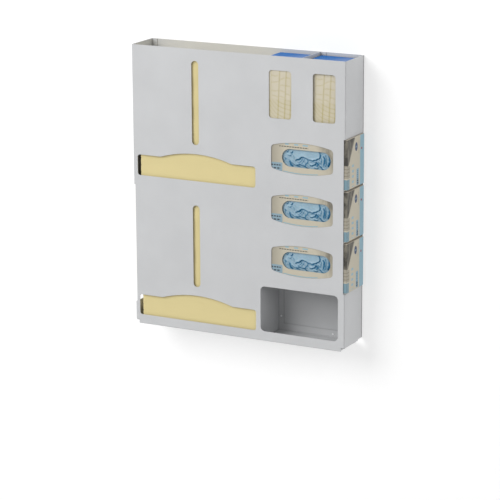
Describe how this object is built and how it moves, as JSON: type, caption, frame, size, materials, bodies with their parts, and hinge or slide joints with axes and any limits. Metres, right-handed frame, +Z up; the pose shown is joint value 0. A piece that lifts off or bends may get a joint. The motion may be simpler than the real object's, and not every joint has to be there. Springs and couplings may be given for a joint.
{
  "type": "disposable glove dispenser",
  "caption": "Wall-mounted white steel dispenser with windows for folded gowns, cartons of gloves and masks, and an open cubby at its lower right.",
  "frame": {"origin": "centre of the four wall-screw holes, on the wall face", "axes": "+X to the right as one faces the front, +Y into the wall, +Z up"},
  "size_m": [0.5984, 0.1047, 0.728],
  "materials": {
    "coated_steel": "satin powder coat",
    "rivet_metal": "satin",
    "carton_board": "printed board",
    "mask_board": "printed board",
    "glove_rubber": "thin nitrile",
    "mask_cloth": "non-woven",
    "gown_cloth": "non-woven"
  },
  "bodies": {
    "root": {"front_shell": "coated_steel", "back_panel": "coated_steel", "gown_divider": "coated_steel", "mask_divider": "coated_steel", "gown_shelf": "coated_steel", "mask_shelf": "coated_steel", "carton_shelf_upper": "coated_steel", "carton_shelf_lower": "coated_steel", "cubby_ceiling": "coated_steel", "shell_rivets": "rivet_metal", "divider_rivets": "rivet_metal", "glove_carton_1": "carton_board", "glove_bundle_1": "glove_rubber", "glove_carton_2": "carton_board", "glove_bundle_2": "glove_rubber", "glove_carton_3": "carton_board", "glove_bundle_3": "glove_rubber", "mask_carton_1": "mask_board", "mask_stack_1": "mask_cloth", "gown_stack_1": "gown_cloth", "mask_carton_2": "mask_board", "mask_stack_2": "mask_cloth", "gown_stack_2": "gown_cloth"}
  },
  "joints": []
}
